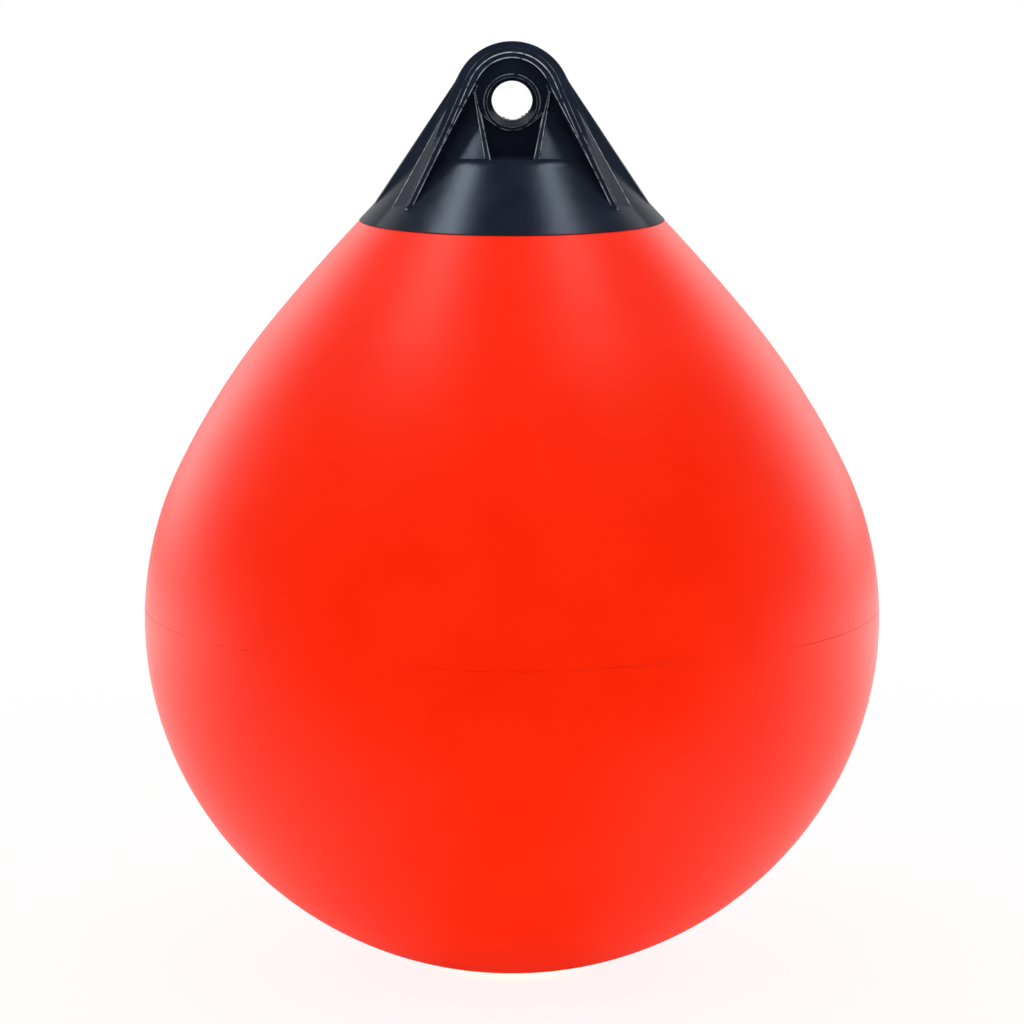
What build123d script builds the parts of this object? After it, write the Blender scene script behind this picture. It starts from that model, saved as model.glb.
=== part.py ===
from build123d import *
from math import cos, sin, radians, tan
import os

# Inflatable teardrop buoy: a red vinyl float, its moulded rope cap and the air valve.
# Millimetres. The origin is on the float's axis at the water line, +Z is up and the eye runs along Y.

# Float
FLOAT_DIAMETER = 455.0
FLOAT_BOTTOM_Z = -78.0
SPRUE_RADIUS = 2.0
BOTTOM_RADIUS = 227.4
BOTTOM_SWEEP = 58.5
SIDE_SWEEP = 57.5
UPPER_RADIUS = 470.0
CONE_ANGLE = 39.6

# Rope cap: skirt, shoulder and oval core; heights count from the middle of the eye
EYE_Z = 462.7
SKIRT_RADIUS = 93.2
SKIRT_ANGLE = 43.1
SKIRT_LIP = 0.4
SHOULDER = -30.3
SHOULDER_ROUND = 8.0
LEDGE_RADIUS = 30.0
CORE_FOOT = (-66.0, 79.0, 80.0)
CORE_TOP = (24.0, 23.0, 5.0)

# Rope cap: arch with leaning legs
ARCH_RADIUS = 36.2
ARCH_ANGLE = 27.5
ARCH_DRAFT = 8.0
ARCH_DEPTH = 70.0
ARCH_DROP = 75.0
FACE_TOP = (12.0, 40.0)
FACE_FOOT = (54.5, -61.5)
FACE_RADIUS = 220.0
OPENING_RADIUS = 20.0
OPENING_RISE = 5.3
OPENING_ANGLE = 26.0
OPENING_DRAFT = 6.0
BEAD_WIDTH = 3.0
BEAD_HEIGHT = 1.0

# Rope cap: side fins, leg gussets and ribs; each section lists the (x, y) of its corners in one quarter
FIN_TOP = 20.0
FIN_TOP_SECTION = ((12.0, 0.0), (28.9, 0.0), (28.9, 5.0), (25.7, 8.2))
FIN_FOOT = -70.0
FIN_FOOT_SECTION = ((40.0, 0.0), (88.7, 0.0), (88.7, 8.6), (59.7, 37.6))
GUSSET_TOP = 0.0
GUSSET_TOP_SECTION = ((30.0, 12.0), (37.4, 18.5), (37.7, 17.6), (28.0, 6.0))
GUSSET_FOOT = -64.0
GUSSET_FOOT_SECTION = ((58.5, 50.5), (66.0, 52.6), (74.0, 41.0), (51.0, 33.0))
RIB_TOP = 7.0
RIB_TOP_SECTION = ((22.4, 6.0), (23.6, 6.0), (23.6, 16.0), (22.4, 16.0))
RIB_FOOT = -33.0
RIB_FOOT_SECTION = ((12.6, 20.0), (16.2, 20.0), (16.2, 51.0), (12.6, 51.0))

# Rope cap: eye in its boss, and the pocket under it
EYE_RADIUS = 12.5
EYE_THROAT = 14.0
EYE_MOUTH_RADIUS = 15.2
EYE_RING_RADIUS = 17.4
EYE_RING_HEIGHT = 0.8
BOSS_RADIUS = 21.9
BOSS_FACE_Y = 13.5
POCKET_BACK_Y = 11.0
POCKET_TOP = (21.2, 6.0)
POCKET_FOOT = (13.0, -32.0)

# Air valve, on the back of the skirt
VALVE_DROP = 56.0
SEAT_DIAMETER = 25.0
SEAT_DEPTH = 8.0
SEAT_PROUD = 1.0
PLUG_DIAMETER = 14.0
PLUG_DEPTH = 4.0
SLOT_WIDTH = 2.2
SLOT_DEPTH = 1.8
FIT_GAP = 0.3

# Derived sizes
SWEEP_SINE = sin(radians(BOTTOM_SWEEP))
SIDE_REACH = FLOAT_DIAMETER / 2 - SPRUE_RADIUS - BOTTOM_RADIUS * SWEEP_SINE
SIDE_RADIUS = SIDE_REACH / (1 - SWEEP_SINE)
UPPER_SWEEP = 90 + CONE_ANGLE - BOTTOM_SWEEP - SIDE_SWEEP
FLARE_SWEEP = SKIRT_ANGLE - CONE_ANGLE
SKIRT_TAN = tan(radians(SKIRT_ANGLE))
OUTWARD = Vector(cos(radians(SKIRT_ANGLE)), sin(radians(SKIRT_ANGLE)))
UPWARD = Vector(-sin(radians(SKIRT_ANGLE)), cos(radians(SKIRT_ANGLE)))
SHOULDER_Z = EYE_Z + SHOULDER
VALVE_Z = EYE_Z - VALVE_DROP

# Planes through the middle of the eye
eye_front = Plane(origin=(0, 0, EYE_Z), x_dir=(1, 0, 0), z_dir=(0, -1, 0))
eye_side = Plane(origin=(0, 0, EYE_Z), x_dir=(0, 1, 0), z_dir=(1, 0, 0))
eye_level = Plane.XY.offset(EYE_Z)

os.makedirs("parts", exist_ok=True)

# Float: tangent arcs turned about the axis, flat on top under the cap
with BuildPart() as float_body:
    with BuildSketch(Plane.XZ):
        with BuildLine():
            bottom = JernArc((SPRUE_RADIUS, FLOAT_BOTTOM_Z), (1, 0), BOTTOM_RADIUS, BOTTOM_SWEEP)
            side = JernArc(bottom @ 1, bottom % 1, SIDE_RADIUS, SIDE_SWEEP)
            upper = JernArc(side @ 1, side % 1, UPPER_RADIUS, UPPER_SWEEP)
            flare_fall = cos(radians(CONE_ANGLE)) - cos(radians(SKIRT_ANGLE))
            flare_radius = ((upper @ 1).X - SKIRT_RADIUS) / flare_fall
            flare = JernArc(upper @ 1, upper % 1, flare_radius, FLARE_SWEEP)
            skirt_edge = flare @ 1
            Polyline(skirt_edge, (0, skirt_edge.Y), (0, FLOAT_BOTTOM_Z), (SPRUE_RADIUS, FLOAT_BOTTOM_Z))
        make_face()
    revolve(axis=Axis.Z)

# Outlines of the arch and of the field inside its bead, and the side profiles that lean the faces out
arch_outlines = []
for radius in (ARCH_RADIUS, ARCH_RADIUS - BEAD_WIDTH):
    with BuildSketch(eye_front) as outline:
        with BuildLine():
            turn = CenterArc((0, 0), radius, ARCH_ANGLE, 180 - 2 * ARCH_ANGLE)
            foot_x = (turn @ 0).X + ((turn @ 0).Y + ARCH_DROP) * tan(radians(ARCH_ANGLE))
            Polyline(turn @ 0, (foot_x, -ARCH_DROP), (-foot_x, -ARCH_DROP), turn @ 1)
        make_face()
    arch_outlines.append(outline.sketch)
lean_profiles = []
for proud in (0, BEAD_HEIGHT):
    with BuildSketch(eye_side) as profile:
        with BuildLine():
            top_y, top_z = FACE_TOP
            foot_y, foot_z = FACE_FOOT
            back = RadiusArc((top_y + proud, top_z), (foot_y, foot_z), FACE_RADIUS)
            front = RadiusArc((-foot_y, foot_z), (-top_y - proud, top_z), FACE_RADIUS)
            Line(back @ 1, front @ 0)
            Line(front @ 1, back @ 0)
        make_face()
    lean_profiles.append(profile.sketch)

# Arch: a drafted tombstone with a drafted keyhole, its faces leaning out to the feet
with BuildPart() as arch:
    extrude(arch_outlines[0], amount=ARCH_DEPTH, both=True, taper=ARCH_DRAFT)
    with BuildSketch(eye_front):
        with BuildLine():
            turn = CenterArc((0, OPENING_RISE), OPENING_RADIUS, OPENING_ANGLE, 180 - 2 * OPENING_ANGLE)
            foot_x = (turn @ 0).X + ((turn @ 0).Y + 95) * tan(radians(OPENING_ANGLE))
            Polyline(turn @ 0, (foot_x, -95), (-foot_x, -95), turn @ 1)
        make_face()
    extrude(amount=ARCH_DEPTH, both=True, taper=-OPENING_DRAFT, mode=Mode.SUBTRACT)
    extrude(lean_profiles[0], amount=100, both=True, mode=Mode.INTERSECT)

# Bead: a raised border along the arch's outer edge that fades out at the feet
with BuildPart() as bead:
    extrude(arch_outlines[0], amount=ARCH_DEPTH, both=True, taper=ARCH_DRAFT)
    extrude(arch_outlines[1], amount=ARCH_DEPTH, both=True, taper=ARCH_DRAFT, mode=Mode.SUBTRACT)
    extrude(lean_profiles[1], amount=100, both=True, mode=Mode.INTERSECT)

# Gussets: half a side fin, the flared outer side of one leg and one rib, mirrored to the four corners
with BuildPart() as gussets:
    sections = (
        (FIN_TOP, FIN_TOP_SECTION, FIN_FOOT, FIN_FOOT_SECTION),
        (GUSSET_TOP, GUSSET_TOP_SECTION, GUSSET_FOOT, GUSSET_FOOT_SECTION),
        (RIB_TOP, RIB_TOP_SECTION, RIB_FOOT, RIB_FOOT_SECTION),
    )
    for top, top_section, foot, foot_section in sections:
        with BuildSketch(eye_level.offset(foot)):
            Polygon(*foot_section, align=None)
        with BuildSketch(eye_level.offset(top)):
            Polygon(*top_section, align=None)
        loft(ruled=True)
    mirror(about=Plane.YZ)
    mirror(about=Plane.XZ)

# Rope cap: skirt and shoulder, oval core, boss and pockets, arch with bead, gussets, eye and valve seat
with BuildPart() as rope_cap:
    with BuildSketch(Plane.XZ):
        with BuildLine():
            lip = Vector(SKIRT_RADIUS + SKIRT_LIP, skirt_edge.Y)
            corner = Vector(lip.X - (SHOULDER_Z - lip.Y) * SKIRT_TAN, SHOULDER_Z)
            turn_foot = corner - UPWARD * SHOULDER_ROUND
            turn_top = corner - Vector(SHOULDER_ROUND, 0)
            Spline(turn_foot, turn_top, tangents=(UPWARD, (-1, 0)))
            axis_ends = [(0, SHOULDER_Z - 1), (0, lip.Y)]
            Polyline(turn_top, (LEDGE_RADIUS, SHOULDER_Z - 1), *axis_ends, lip, turn_foot)
        make_face()
    revolve(axis=Axis.Z)
    for height, half_x, half_y in (CORE_FOOT, CORE_TOP):
        with BuildSketch(eye_level.offset(height)):
            Ellipse(half_x, half_y)
    loft()
    for face in (-1, 1):
        with BuildSketch(eye_front.offset(face * POCKET_BACK_Y)):
            with BuildLine():
                right_side = [POCKET_TOP, POCKET_FOOT]
                left_side = [(-x, z) for x, z in reversed(right_side)]
                Polyline(*right_side, *left_side, close=True)
            make_face()
        extrude(amount=face * 80, mode=Mode.SUBTRACT)
        with BuildSketch(eye_front.offset(face * BOSS_FACE_Y)):
            with Locations((0, OPENING_RISE)):
                Circle(BOSS_RADIUS)
        extrude(amount=face * 80, mode=Mode.SUBTRACT)
    with BuildSketch(eye_front):
        with Locations((0, OPENING_RISE)):
            Circle(BOSS_RADIUS)
    extrude(amount=BOSS_FACE_Y, both=True)
    with BuildSketch(eye_front):
        Circle(EYE_RING_RADIUS)
    extrude(amount=BOSS_FACE_Y + EYE_RING_HEIGHT, both=True)
    add(arch.part)
    add(bead.part)
    add(gussets.part)
    with BuildSketch(eye_side):
        with BuildLine():
            half_eye = [
                (EYE_THROAT / 2, EYE_RADIUS),
                (BOSS_FACE_Y + EYE_RING_HEIGHT, EYE_MOUTH_RADIUS),
                (BOSS_FACE_Y + 5, EYE_MOUTH_RADIUS),
                (BOSS_FACE_Y + 5, 0),
            ]
            other_half = [(-y, z) for y, z in reversed(half_eye)]
            Polyline(*half_eye, *other_half, close=True)
        make_face()
    revolve(axis=Axis((0, 0, EYE_Z), (0, 1, 0)), mode=Mode.SUBTRACT)
    valve_radius = lip.X - (VALVE_Z - lip.Y) * SKIRT_TAN
    valve_plane = Plane(
        origin=(0, valve_radius, VALVE_Z), x_dir=(1, 0, 0), z_dir=(0, OUTWARD.X, OUTWARD.Y)
    )
    with BuildSketch(valve_plane.offset(-SEAT_DEPTH - FIT_GAP)):
        Circle(SEAT_DIAMETER / 2 + FIT_GAP)
    extrude(amount=SEAT_DEPTH + 10, mode=Mode.SUBTRACT)

# Valve seat: a cup let into the skirt, a little proud of it
with BuildPart() as valve_seat:
    with BuildSketch(valve_plane.offset(-SEAT_DEPTH)):
        Circle(SEAT_DIAMETER / 2)
    extrude(amount=SEAT_DEPTH + SEAT_PROUD)
    with BuildSketch(valve_plane.offset(SEAT_PROUD)):
        Circle(PLUG_DIAMETER / 2 + FIT_GAP)
    extrude(amount=-PLUG_DEPTH - FIT_GAP, mode=Mode.SUBTRACT)

# Valve plug: the slotted screw head that closes the seat
with BuildPart() as valve_plug:
    with BuildSketch(valve_plane.offset(SEAT_PROUD)):
        Circle(PLUG_DIAMETER / 2)
    extrude(amount=-PLUG_DEPTH)
    with BuildSketch(valve_plane.offset(SEAT_PROUD)):
        Rectangle(PLUG_DIAMETER + 1, SLOT_WIDTH)
    extrude(amount=-SLOT_DEPTH, mode=Mode.SUBTRACT)

float_body.part.label = "float_body"
rope_cap.part.label = "rope_cap"
valve_seat.part.label = "valve_seat"
valve_plug.part.label = "valve_plug"
export_step(float_body.part, "parts/float_body.step")
export_step(rope_cap.part, "parts/rope_cap.step")
export_step(valve_seat.part, "parts/valve_seat.step")
export_step(valve_plug.part, "parts/valve_plug.step")
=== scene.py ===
import math
import random

import bpy
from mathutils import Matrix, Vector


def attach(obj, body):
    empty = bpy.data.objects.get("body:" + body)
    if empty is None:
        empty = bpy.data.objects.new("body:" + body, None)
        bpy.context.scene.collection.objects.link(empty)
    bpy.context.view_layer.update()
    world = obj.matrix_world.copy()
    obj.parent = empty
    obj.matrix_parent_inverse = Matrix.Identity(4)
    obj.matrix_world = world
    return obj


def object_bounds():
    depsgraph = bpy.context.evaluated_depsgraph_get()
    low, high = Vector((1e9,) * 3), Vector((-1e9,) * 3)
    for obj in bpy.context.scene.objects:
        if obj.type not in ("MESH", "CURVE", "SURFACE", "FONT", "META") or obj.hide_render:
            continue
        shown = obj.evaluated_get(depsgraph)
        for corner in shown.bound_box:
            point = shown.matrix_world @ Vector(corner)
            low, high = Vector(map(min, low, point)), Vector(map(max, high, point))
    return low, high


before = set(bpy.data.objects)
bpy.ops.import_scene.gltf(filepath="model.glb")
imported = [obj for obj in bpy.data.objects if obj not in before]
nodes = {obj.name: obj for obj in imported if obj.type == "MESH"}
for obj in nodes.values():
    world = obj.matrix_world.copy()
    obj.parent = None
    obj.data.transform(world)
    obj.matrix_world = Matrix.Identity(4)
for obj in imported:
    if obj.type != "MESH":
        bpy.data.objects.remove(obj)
cad_low, cad_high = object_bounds()
scene = bpy.context.scene

# Places and sizes in metres, with the water line as zero height
RING_Z = 0.1427
FLOOR_GAP = 0.0005
FLOOR_Z = cad_low[2] - FLOOR_GAP
FLOOR_SIZE = 40
EYE_Z = 0.4627
EYE_RADIUS = 0.0125
MM = 0.001

# Torn flash in the eye: angles in degrees round the eye from its right;
# each row of the torn bits is angle, half-width in degrees and reach in mm
FLASH_START = 205
FLASH_END = 340
FLASH_STEPS = 120
FLASH_HALF_THICKNESS = 0.0004
FLASH_ROOT = 0.0005
FLASH_LEAST = 0.0002
FLASH_RAGGED = 0.0002
FLASH_SEED = 11
FLASH_BITS = (
    (232, 5, 0.4), (245, 6, 1.0), (252, 2, 0.6), (257, 4, 1.0), (263, 2, 0.9), (276, 7, 0.5),
    (291, 4, 0.8), (301, 4, 1.1), (306, 2.5, 1.2), (315, 5, 0.8), (327, 4, 0.4),
)

# Parting line of the float: each row is start and end in degrees to the right of the front
# and the height in mm off the line, and the same rows are repeated round the back
PARTING_Z = 0.1514
PARTING_RADIUS = 0.22732
PARTING_HEIGHT = 0.0003
PARTING_HALF_WIDTH = 0.0004
PARTING_ROOT = 0.0004
PARTING_TAPER = 6
PARTING_STEP = 1.5
PARTING_LEAST_STEPS = 4
PARTING_WAVE = 0.00008
PARTING_WAVES = 7
PARTING_ROWS = (
    (-87, -57, 0.0), (-51, -48.5, 0.0), (-45.5, -43, 0.1), (-42, -40.5, -0.2), (-38.5, -37, 0.1),
    (-17, -8.5, 0.4), (-9, 6, -0.3), (8.5, 11.5, -0.2), (11.5, 23.5, 0.4), (24.5, 29.5, 0.5),
    (45.5, 86, 0.0),
)

# Materials: darker and paler colour, gloss roughness, and in metres the size of the colour
# patches and grain, the depth of the grain and the rounding of edges
VINYLS = {
    "red vinyl": (
        (0.94, 0.018, 0.002), (0.98, 0.022, 0.003), (0.38, 0.45), 0.05, 0.0015, 0.00001, 0.0004,
    ),
    "dark vinyl": (
        (0.009, 0.0125, 0.022), (0.0125, 0.017, 0.03), (0.21, 0.3), 0.02, 0.0009, 0.00009, 0.0008,
    ),
    "black nylon": (
        (0.012, 0.012, 0.014), (0.02, 0.02, 0.022), (0.42, 0.55), 0.01, 0.0008, 0.00004, 0.0005,
    ),
    "grey nylon": (
        (0.1, 0.1, 0.108), (0.13, 0.13, 0.14), (0.4, 0.5), 0.006, 0.0008, 0.00003, 0.0004,
    ),
    "red seam": (
        (0.8, 0.012, 0.0015), (0.9, 0.018, 0.002), (0.38, 0.45), 0.02, 0.0015, 0.00001, 0.0002,
    ),
}
COLOUR_STOPS = (0.3, 0.7)
PATCH_DETAIL = 4
GRAIN_DETAIL = 3
ROUNDING_SAMPLES = 6
BLUISH_GLOSS = (0.66, 0.82, 1, 1)
WHITE = (1, 1, 1, 1)
BLACK = (0, 0, 0, 1)

# Painted edge highlights on the cap, pale broken lines in the colour that stand for light on rounded edges:
# how open the inside of an edge is where its line starts and is full, the noise that breaks the line,
# and the height above the lip over which it fades in
EDGE_HIGHLIGHT_COLOUR = (0.42, 0.45, 0.5, 1)
EDGE_HIGHLIGHT_WIDTH = 0.0009
EDGE_HIGHLIGHT_CORNER = (0.84, 0.62)
EDGE_HIGHLIGHT_SAMPLES = 12
EDGE_HIGHLIGHT_PATCH = 0.004
EDGE_HIGHLIGHT_DETAIL = 2
EDGE_HIGHLIGHT_BREAKS = (0.32, 0.54)
LIP_CLEARANCE = 0.002
LIP_FADE = 0.003

# Gloss of the cap: plain, and on faces seen on the slant, where it fades to none up to the arch
PLAIN_GLOSS = 0.5
SLANT_GLOSS = 0.015
SLANT = (0.4, 0.62)
ARCH_FADE_Z = (0.405, 0.445)

# Studio floor, where 1 is white: the camera sees it whiter with distance from the buoy,
# and reflections see it glow at both sides behind the buoy and fade further back
FLOOR_COLOUR = (0.92, 0.92, 0.92, 1)
FLOOR_ROUGHNESS = 0.9
FLOOR_SHARE = 0.88
FLOOR_SHARE_REACH = (0.3, 1.1)
FLOOR_DEPTH = (-0.5, 2.7)
FLOOR_BRIGHT = (0.5, 0.6)
FLOOR_FAR = (0.1, 0.1, 0.1, 1)
FLOOR_ACROSS = (0.04, 0.24)
FLOOR_MIDDLE_GLOW = 0.15
FLOOR_GLOW = 2.0

# Studio surround, by direction: reflections see it glow behind the buoy, less in the middle
SURROUND_LEAN = -0.25
SURROUND_DEPTH = (0.25, 0.8)
SURROUND_ACROSS = (0.15, 0.55)
SURROUND_MIDDLE = 0.4
SURROUND_GLOW = 2.2

# Soft boxes that make the streaks: name, place in metres, turn in degrees, size in metres and watts
SOFT_BOXES = (
    ("left soft box", (-0.82, 0.02, 1.92), (0, -26, 0), (0.2, 0.7), 4.5),
    ("right soft box", (0.66, 0.02, 1.95), (0, 24, 0), (0.2, 0.7), 3.7),
)

# Light tent of six panels: name, place in half-widths from the middle, turn in degrees and level,
# where level 1 takes the watts of white for each square metre
TENT_ROWS = (
    ("front", (0, -1, 0), (90, 0, 0), 0.88),
    ("back", (0, 1, 0), (-90, 0, 0), 0.3),
    ("left", (-1, 0, 0), (0, -90, 0), 0.55),
    ("right", (1, 0, 0), (0, 90, 0), 0.55),
    ("top", (0, 0, 1), (0, 0, 0), 0.6),
    ("table", (0, 0, -1), (180, 0, 0), 0.86),
)
TENT_HALF = 1.3
TENT_LIFT = 0.001
WHITE_WATTS = 4

# Camera: metres, degrees and pixels of the photograph
CAMERA_DISTANCE = 3.2
CAMERA_RISE = 0.584
CAMERA_PITCH = 9.21
FOCAL_PIXELS = 5238
PICTURE_PIXELS = 1024
SENSOR_WIDTH = 36
CAMERA_SIGHT = 50


def put(tree, kind, values=(), links=()):
    """Adds a shader node and sets its inputs, each row being a socket and its value or source."""
    made = tree.nodes.new(f"ShaderNode{kind}")
    for socket, value in values:
        made.inputs[socket].default_value = value
    for socket, source in links:
        tree.links.new(source, made.inputs[socket])
    return made


def axes_of(tree, place):
    return put(tree, "SeparateXYZ", (), (("Vector", place),)).outputs


def maths(tree, operation, links, values=()):
    made = put(tree, "Math", values, links)
    made.operation = operation
    return made.outputs["Value"]


def span(tree, source, start, end, low=0, high=1, smooth=False):
    """A value that goes from low to high as the source goes from start to end."""
    rows = (("From Min", start), ("From Max", end), ("To Min", low), ("To Max", high))
    made = put(tree, "MapRange", rows, (("Value", source),))
    if smooth:
        made.interpolation_type = "SMOOTHSTEP"
    return made.outputs["Result"]


def noise(tree, place, size, detail):
    rows = (("Scale", 1 / size), ("Detail", detail))
    return put(tree, "TexNoise", rows, (("Vector", place),)).outputs["Fac"]


def vinyl(name):
    """A moulded surface: soft colour patches, uneven gloss, a fine grain and softened edges."""
    dark, light, rough, patch, grain, depth, edge = VINYLS[name]
    mat = bpy.data.materials.new(name)
    mat.use_nodes = True
    tree = mat.node_tree
    shader = tree.nodes["Principled BSDF"]
    place = put(tree, "TexCoord").outputs["Object"]
    patches = noise(tree, place, patch, PATCH_DETAIL)
    colours = put(tree, "ValToRGB", (), (("Fac", patches),))
    for stop, position, colour in zip(colours.color_ramp.elements, COLOUR_STOPS, (dark, light)):
        stop.position = position
        stop.color = (*colour, 1)
    tree.links.new(colours.outputs["Color"], shader.inputs["Base Color"])
    tree.links.new(span(tree, patches, 0, 1, *rough), shader.inputs["Roughness"])
    rounding = put(tree, "Bevel", (("Radius", edge),))
    rounding.samples = ROUNDING_SAMPLES
    bump = put(
        tree, "Bump", (("Distance", depth),),
        (("Height", noise(tree, place, grain, GRAIN_DETAIL)), ("Normal", rounding.outputs["Normal"])),
    )
    tree.links.new(bump.outputs["Normal"], shader.inputs["Normal"])
    return mat


def paint_edge_highlights(mat, above):
    """Painted highlights: paler broken lines in the colour along the outward edges of a moulding, above a
    height.
    """
    tree = mat.node_tree
    base = tree.nodes["Principled BSDF"].inputs["Base Color"]
    plain = base.links[0].from_socket
    corner = put(tree, "AmbientOcclusion", (("Distance", EDGE_HIGHLIGHT_WIDTH),))
    corner.inside = True
    corner.only_local = True
    corner.samples = EDGE_HIGHLIGHT_SAMPLES
    edge = span(tree, corner.outputs["AO"], *EDGE_HIGHLIGHT_CORNER)
    breaks = noise(tree, put(tree, "TexCoord").outputs["Object"], EDGE_HIGHLIGHT_PATCH, EDGE_HIGHLIGHT_DETAIL)
    highlight_kept = span(tree, breaks, *EDGE_HIGHLIGHT_BREAKS)
    axes = axes_of(tree, put(tree, "NewGeometry").outputs["Position"])
    start = span(tree, axes["Z"], above, above + LIP_FADE)
    broken = maths(tree, "MULTIPLY", ((0, edge), (1, highlight_kept)))
    highlight_lines = maths(tree, "MULTIPLY", ((0, broken), (1, start)))
    # Mixes the painted edge highlight colour into the base colour
    mix = tree.nodes.new("ShaderNodeMix")
    mix.data_type = "RGBA"
    mix.inputs["B"].default_value = EDGE_HIGHLIGHT_COLOUR
    tree.links.new(highlight_lines, mix.inputs["Factor"])
    tree.links.new(plain, mix.inputs["A"])
    tree.links.new(mix.outputs["Result"], base)


def dull_slant(mat):
    """Less gloss where a grained moulding is seen on the slant, and none around the arch."""
    tree = mat.node_tree
    facing = put(tree, "LayerWeight").outputs["Facing"]
    axes = axes_of(tree, put(tree, "NewGeometry").outputs["Position"])
    least = span(tree, axes["Z"], *ARCH_FADE_Z, SLANT_GLOSS, 0)
    gloss = span(tree, facing, *SLANT, PLAIN_GLOSS)
    tree.links.new(least, gloss.node.inputs["To Max"])
    tree.links.new(gloss, tree.nodes["Principled BSDF"].inputs["Specular IOR Level"])


red, dark, black, grey, seam = (vinyl(name) for name in VINYLS)
dark.node_tree.nodes["Principled BSDF"].inputs["Specular Tint"].default_value = BLUISH_GLOSS
cap = nodes["rope_cap"]
lip_z = min((cap.matrix_world @ vertex.co).z for vertex in cap.data.vertices)
dull_slant(dark)
# Paints highlights into the colour along the cap's outward edges, above its lip
paint_edge_highlights(dark, lip_z + LIP_CLEARANCE)
looks = {"float_body": red, "rope_cap": dark, "valve_seat": black, "valve_plug": grey}
for name, mat in looks.items():
    nodes[name].data.materials.clear()
    nodes[name].data.materials.append(mat)


def ridge(points, faces, sections):
    """Adds a closed ridge whose three-point sections follow one another."""
    first = len(points)
    for section in sections:
        points += section
    last = first + 3 * (len(sections) - 1)
    for a in range(first, last, 3):
        b = a + 3
        faces += [(a, b, b + 1, a + 1), (a + 1, b + 1, b + 2, a + 2), (a + 2, b + 2, b, a)]
    faces += [(first, first + 1, first + 2), (last + 2, last + 1, last)]


def add_piece(name, ridges, mat):
    """A piece of the scene made of ridges, which rides on the buoy."""
    points, faces = [], []
    for sections in ridges:
        ridge(points, faces, sections)
    mesh = bpy.data.meshes.new(name)
    mesh.from_pydata(points, [], faces)
    mesh.update()
    obj = bpy.data.objects.new(name, mesh)
    scene.collection.objects.link(obj)
    mesh.materials.append(mat)
    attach(obj, "root")


def eye_flash_sections():
    """Torn moulding flash along the lower edge of the eye, thinnest at its ragged inner edge."""
    chance = random.Random(FLASH_SEED)
    sections = []
    for i in range(FLASH_STEPS + 1):
        degrees = FLASH_START + i / FLASH_STEPS * (FLASH_END - FLASH_START)
        reach = FLASH_LEAST + FLASH_RAGGED * chance.random()
        for middle, half, bit in FLASH_BITS:
            reach += MM * bit * max(0, 1 - ((degrees - middle) / half) ** 2)
        angle = math.radians(degrees)
        root = EYE_RADIUS + FLASH_ROOT
        corners = ((root, -FLASH_HALF_THICKNESS), (EYE_RADIUS - reach, 0), (root, FLASH_HALF_THICKNESS))
        sections.append([(r * math.cos(angle), y, EYE_Z + r * math.sin(angle)) for r, y in corners])
    return sections


def parting_sections(turn, start, end, shift):
    """One stretch of the parting line, a low ridge that tapers off at its ends."""
    steps = max(PARTING_LEAST_STEPS, round((end - start) / PARTING_STEP))
    sections = []
    for i in range(steps + 1):
        along = i / steps
        angle = math.radians(turn + start + along * (end - start))
        rise = PARTING_HEIGHT * min(1, PARTING_TAPER * along, PARTING_TAPER * (1 - along))
        z = PARTING_Z + MM * shift + PARTING_WAVE * math.sin(PARTING_WAVES * angle + start)
        corners = (
            (PARTING_RADIUS - PARTING_ROOT, z - PARTING_HALF_WIDTH),
            (PARTING_RADIUS + rise, z),
            (PARTING_RADIUS - PARTING_ROOT, z + PARTING_HALF_WIDTH),
        )
        sections.append([(r * math.sin(angle), -r * math.cos(angle), height) for r, height in corners])
    return sections


parting_line = [parting_sections(turn, *row) for turn in (0, 180) for row in PARTING_ROWS]
add_piece("eye_flash", [eye_flash_sections()], dark)
add_piece("parting_line", parting_line, seam)


def floor_material():
    """White to the camera but for a share that keeps the shadow; other rays see it pale behind the buoy."""
    mat = bpy.data.materials.new("floor")
    mat.use_nodes = True
    tree = mat.node_tree
    shader = tree.nodes["Principled BSDF"]
    shader.inputs["Base Color"].default_value = FLOOR_COLOUR
    shader.inputs["Roughness"].default_value = FLOOR_ROUGHNESS
    shader.inputs["Specular IOR Level"].default_value = 0
    white = put(tree, "Emission", (("Strength", 1.0),))
    place = put(tree, "NewGeometry").outputs["Position"]
    reach = put(tree, "VectorMath", (), ((0, place),))
    reach.operation = "LENGTH"
    share = span(tree, reach.outputs["Value"], *FLOOR_SHARE_REACH, FLOOR_SHARE, 1)
    pale = put(
        tree, "MixShader", (),
        (("Fac", share), (1, shader.outputs["BSDF"]), (2, white.outputs["Emission"])),
    )
    axes = axes_of(tree, place)
    behind = span(tree, axes["Y"], *FLOOR_DEPTH)
    fade = put(tree, "ValToRGB", (), (("Fac", behind),))
    fade.color_ramp.elements[0].color = BLACK
    fade.color_ramp.elements[1].color = FLOOR_FAR
    for position in FLOOR_BRIGHT:
        fade.color_ramp.elements.new(position).color = WHITE
    across = maths(tree, "ABSOLUTE", ((0, axes["X"]),))
    beside = span(tree, across, *FLOOR_ACROSS, FLOOR_MIDDLE_GLOW, FLOOR_GLOW)
    sides = maths(tree, "MULTIPLY", ((0, fade.outputs["Color"]), (1, beside)))
    glow = put(tree, "Emission", (), (("Strength", sides),))
    seen = put(
        tree, "MixShader", (),
        (("Fac", put(tree, "LightPath").outputs["Is Camera Ray"]), (1, glow.outputs["Emission"]),
         (2, pale.outputs["Shader"])),
    )
    tree.links.new(seen.outputs["Shader"], tree.nodes["Material Output"].inputs["Surface"])
    return mat


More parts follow.
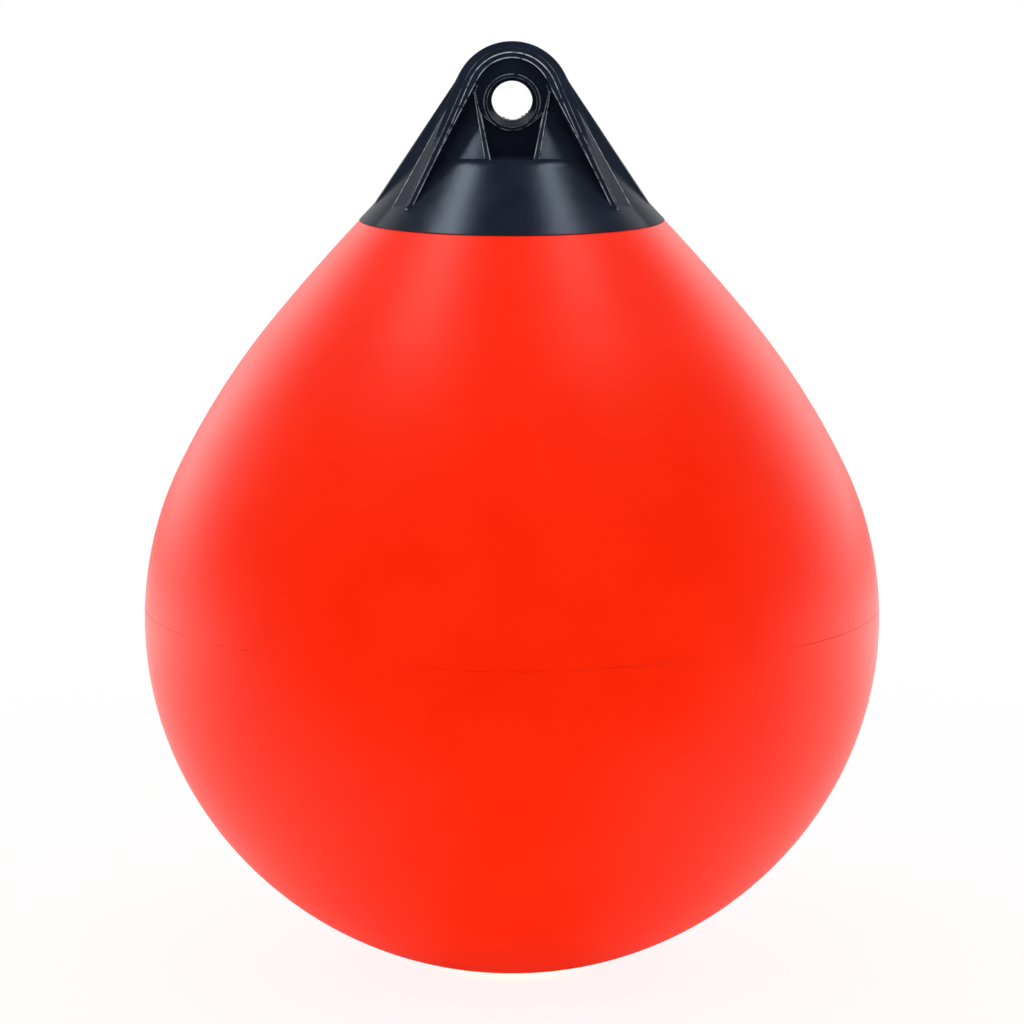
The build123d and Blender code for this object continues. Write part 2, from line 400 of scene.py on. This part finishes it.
def light_surround():
    """White to the camera; other rays see two pale sides behind the buoy, that lean back."""
    world = bpy.data.worlds.new("studio")
    scene.world = world
    world.use_nodes = True
    tree = world.node_tree
    back = tree.nodes["Background"]
    back.inputs["Color"].default_value = WHITE
    axes = axes_of(tree, put(tree, "TexCoord").outputs["Generated"])
    lean = maths(tree, "MULTIPLY_ADD", ((0, axes["Z"]), (2, axes["Y"])), ((1, SURROUND_LEAN),))
    behind = span(tree, lean, *SURROUND_DEPTH, 0, SURROUND_GLOW, True)
    across = maths(tree, "ABSOLUTE", ((0, axes["X"]),))
    beside = span(tree, across, *SURROUND_ACROSS, SURROUND_MIDDLE, 1, True)
    sides = maths(tree, "MULTIPLY", ((0, behind), (1, beside)))
    seen = put(
        tree, "Mix", (("B", 1.0),),
        (("Factor", put(tree, "LightPath").outputs["Is Camera Ray"]), ("A", sides)),
    )
    tree.links.new(seen.outputs["Result"], back.inputs["Strength"])


def soft_box(name, place, turn, size, power):
    data = bpy.data.lights.new(name, "AREA")
    data.shape = "RECTANGLE"
    data.size, data.size_y = size
    data.energy = power
    box = bpy.data.objects.new(name, data)
    scene.collection.objects.link(box)
    box.location = place
    box.rotation_euler = [math.radians(angle) for angle in turn]
    return box


def tent_panel(name, side, turn, level):
    """A panel that gives soft light at a plain level and leaves no reflection."""
    x, y, z = (TENT_HALF * step for step in side)
    size = 2 * TENT_HALF
    place = (x, y, FLOOR_Z + TENT_LIFT + TENT_HALF + z)
    panel = soft_box(f"{name} panel", place, turn, (size, size), WHITE_WATTS * size**2 * level)
    panel.visible_camera = False
    panel.visible_glossy = False
    panel.data.cycles.use_multiple_importance_sampling = False


def place_camera():
    """Where the photograph's camera was."""
    data = bpy.data.cameras.new("camera")
    camera = bpy.data.objects.new("camera", data)
    scene.collection.objects.link(camera)
    camera.location = (0, -CAMERA_DISTANCE, RING_Z + CAMERA_RISE)
    camera.rotation_euler = (math.radians(90 - CAMERA_PITCH), 0, 0)
    data.sensor_width = SENSOR_WIDTH
    data.lens = SENSOR_WIDTH * FOCAL_PIXELS / PICTURE_PIXELS
    data.clip_end = CAMERA_SIGHT
    scene.camera = camera


bpy.ops.mesh.primitive_plane_add(size=FLOOR_SIZE, location=(0, 0, FLOOR_Z))
floor = bpy.context.object
floor.name = "floor"
floor.data.materials.append(floor_material())
light_surround()
for row in SOFT_BOXES:
    soft_box(*row)
for row in TENT_ROWS:
    tent_panel(*row)
place_camera()
scene.view_settings.view_transform = "Standard"
